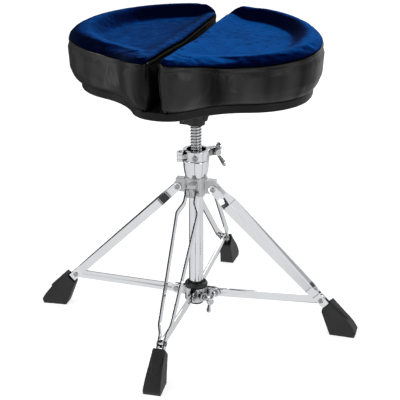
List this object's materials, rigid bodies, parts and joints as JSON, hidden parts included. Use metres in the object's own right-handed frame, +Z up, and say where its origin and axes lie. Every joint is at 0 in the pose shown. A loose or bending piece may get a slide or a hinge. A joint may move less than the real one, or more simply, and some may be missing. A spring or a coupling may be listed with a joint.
{
  "type": "drum throne",
  "caption": "Folding stool with a split saddle seat of two dished cushions on a threaded height rod, double-strap legs, braces and rubber boots.",
  "frame": {"origin": "on the floor under the column axis, midway between the boots", "axes": "+Z up along the column; -Y towards the front leg and the seat nose; +X towards the right leg"},
  "size_m": [0.648, 0.648, 0.5918],
  "materials": {
    "chrome_plate": "bright chrome plating",
    "cast_hub": "satin die-cast",
    "bright_casting": "polished die-cast",
    "steel_fasteners": "zinc plated",
    "threaded_steel": "zinc plated thread",
    "black_plastic": "moulded",
    "nylon": "moulded nylon",
    "brass": "turned",
    "boot_rubber": "moulded rubber",
    "cast_black": "black powder coat",
    "plywood": "raw birch plywood",
    "black_vinyl": "satin grained vinyl",
    "foam": "open-cell foam",
    "blue_velour": "short pile velour"
  },
  "bodies": {
    "column": {"centre_tube": "chrome_plate", "tube_end_cap": "black_plastic", "hub_casting": "cast_hub", "hub_set_screws": "steel_fasteners", "hub_pivot_bushes": "steel_fasteners", "spindle_nut": "steel_fasteners", "height_cup": "chrome_plate", "lock_body": "chrome_plate", "lock_hinge_pin": "steel_fasteners"},
    "lower_bracket": {"bracket_casting": "bright_casting", "bracket_bush": "black_plastic", "brace_inner_pins": "steel_fasteners"},
    "clamp_shoe": {"bracket_shoe": "brass"},
    "clamp_wing_bolt": {"bracket_wing_bolt": "chrome_plate"},
    "front_brace_bar": {"front_brace": "chrome_plate"},
    "front_leg": {"front_strap_a": "chrome_plate", "front_strap_b": "chrome_plate", "front_foot_rivet": "steel_fasteners", "front_hub_rivets": "steel_fasteners", "front_boot": "boot_rubber"},
    "right_brace_bar": {"right_brace": "chrome_plate"},
    "right_leg": {"right_strap_a": "chrome_plate", "right_strap_b": "chrome_plate", "right_foot_rivet": "steel_fasteners", "right_hub_rivets": "steel_fasteners", "right_boot": "boot_rubber"},
    "rear_brace_bar": {"rear_brace": "chrome_plate"},
    "rear_leg": {"rear_strap_a": "chrome_plate", "rear_strap_b": "chrome_plate", "rear_foot_rivet": "steel_fasteners", "rear_hub_rivets": "steel_fasteners", "rear_boot": "boot_rubber"},
    "left_brace_bar": {"left_brace": "chrome_plate"},
    "left_leg": {"left_strap_a": "chrome_plate", "left_strap_b": "chrome_plate", "left_foot_rivet": "steel_fasteners", "left_hub_rivets": "steel_fasteners", "left_boot": "boot_rubber"},
    "rod_guide": {"rod_guide_bush": "nylon"},
    "seat": {"threaded_rod": "threaded_steel", "rod_end_screw": "steel_fasteners", "seat_bracket": "cast_black", "seat_clamp_bolt": "steel_fasteners", "seat_bolts": "steel_fasteners", "t_nuts": "steel_fasteners", "seat_board": "plywood", "base_wrap": "black_vinyl", "left_foam": "foam", "right_foam": "foam", "left_side_wall": "black_vinyl", "right_side_wall": "black_vinyl", "left_velour_top": "blue_velour", "right_velour_top": "blue_velour"},
    "lock_washer_body": {"lock_washer": "steel_fasteners"},
    "lock_wing": {"lock_wing_screw": "chrome_plate"},
    "lock_jaw_half": {"lock_jaw": "chrome_plate", "lock_key_screw": "steel_fasteners"}
  },
  "joints": [
    {"name": "fold_slide", "type": "slide", "parent": "column", "child": "lower_bracket", "axis": [0, 0, 1], "range_m": [0, 0.1293]},
    {"name": "front_brace_hinge", "type": "hinge", "parent": "lower_bracket", "child": "front_brace_bar", "pos_m": [0, -0.04, 0.06], "axis": [1, 0, 0], "range_deg": [0, 88]},
    {"name": "front_leg_hinge", "type": "hinge", "parent": "front_brace_bar", "child": "front_leg", "pos_m": [0, -0.25197, 0.06822], "axis": [1, 0, 0], "range_deg": [-46.4, 0]},
    {"name": "right_brace_hinge", "type": "hinge", "parent": "lower_bracket", "child": "right_brace_bar", "pos_m": [0.04, 0, 0.06], "axis": [0, 1, 0], "range_deg": [0, 88]},
    {"name": "right_leg_hinge", "type": "hinge", "parent": "right_brace_bar", "child": "right_leg", "pos_m": [0.25197, 0, 0.06822], "axis": [0, 1, 0], "range_deg": [-46.4, 0]},
    {"name": "rear_brace_hinge", "type": "hinge", "parent": "lower_bracket", "child": "rear_brace_bar", "pos_m": [0, 0.04, 0.06], "axis": [-1, 0, 0], "range_deg": [0, 88]},
    {"name": "rear_leg_hinge", "type": "hinge", "parent": "rear_brace_bar", "child": "rear_leg", "pos_m": [0, 0.25197, 0.06822], "axis": [-1, 0, 0], "range_deg": [-46.4, 0]},
    {"name": "left_brace_hinge", "type": "hinge", "parent": "lower_bracket", "child": "left_brace_bar", "pos_m": [-0.04, 0, 0.06], "axis": [0, -1, 0], "range_deg": [0, 88]},
    {"name": "left_leg_hinge", "type": "hinge", "parent": "left_brace_bar", "child": "left_leg", "pos_m": [-0.25197, 0, 0.06822], "axis": [0, -1, 0], "range_deg": [-46.4, 0]},
    {"name": "height_slide", "type": "slide", "parent": "column", "child": "rod_guide", "axis": [0, 0, 1], "range_m": [-0.0301, 0.1021]},
    {"name": "seat_turn", "type": "hinge", "parent": "rod_guide", "child": "seat", "pos_m": [0, 0, 0.4], "axis": [0, 0, 1], "range_deg": [-1800, 6120]},
    {"name": "lock_washer_slide", "type": "slide", "parent": "column", "child": "lock_washer_body", "axis": [0.6947, -0.7193, 0], "range_m": [0, 0.004]},
    {"name": "lock_wing_spin", "type": "hinge", "parent": "lock_washer_body", "child": "lock_wing", "pos_m": [0.03572, 0.02059, 0.348], "axis": [0.6947, -0.7193, 0], "range_deg": [0, 1520]},
    {"name": "lock_jaw_hinge", "type": "hinge", "parent": "column", "child": "lock_jaw_half", "pos_m": [-0.02518, -0.02431, 0.348], "axis": [0, 0, -1], "range_deg": [0, 2.9]},
    {"name": "clamp_shoe_slide", "type": "slide", "parent": "lower_bracket", "child": "clamp_shoe", "axis": [0.7071, -0.7071, 0], "range_m": [0, 0.0025]},
    {"name": "clamp_bolt_spin", "type": "hinge", "parent": "clamp_shoe", "child": "clamp_wing_bolt", "pos_m": [0.03182, -0.03182, 0.056], "axis": [0.7071, -0.7071, 0], "range_deg": [0, 800]}
  ],
  "couplings": [
    {"joint": "front_brace_hinge", "follows": "fold_slide", "rad_per_m": 11.851},
    {"joint": "front_leg_hinge", "follows": "fold_slide", "rad_per_m": -6.2358},
    {"joint": "right_brace_hinge", "follows": "fold_slide", "rad_per_m": 11.851},
    {"joint": "right_leg_hinge", "follows": "fold_slide", "rad_per_m": -6.2358},
    {"joint": "rear_brace_hinge", "follows": "fold_slide", "rad_per_m": 11.851},
    {"joint": "rear_leg_hinge", "follows": "fold_slide", "rad_per_m": -6.2358},
    {"joint": "left_brace_hinge", "follows": "fold_slide", "rad_per_m": 11.851},
    {"joint": "left_leg_hinge", "follows": "fold_slide", "rad_per_m": -6.2358},
    {"joint": "height_slide", "follows": "seat_turn", "m_per_rad": 0.00095493},
    {"joint": "lock_wing_spin", "follows": "lock_washer_slide", "rad_per_m": 6283.2},
    {"joint": "lock_jaw_hinge", "follows": "lock_washer_slide", "rad_per_m": 12},
    {"joint": "clamp_bolt_spin", "follows": "clamp_shoe_slide", "rad_per_m": 5026.5}
  ]
}
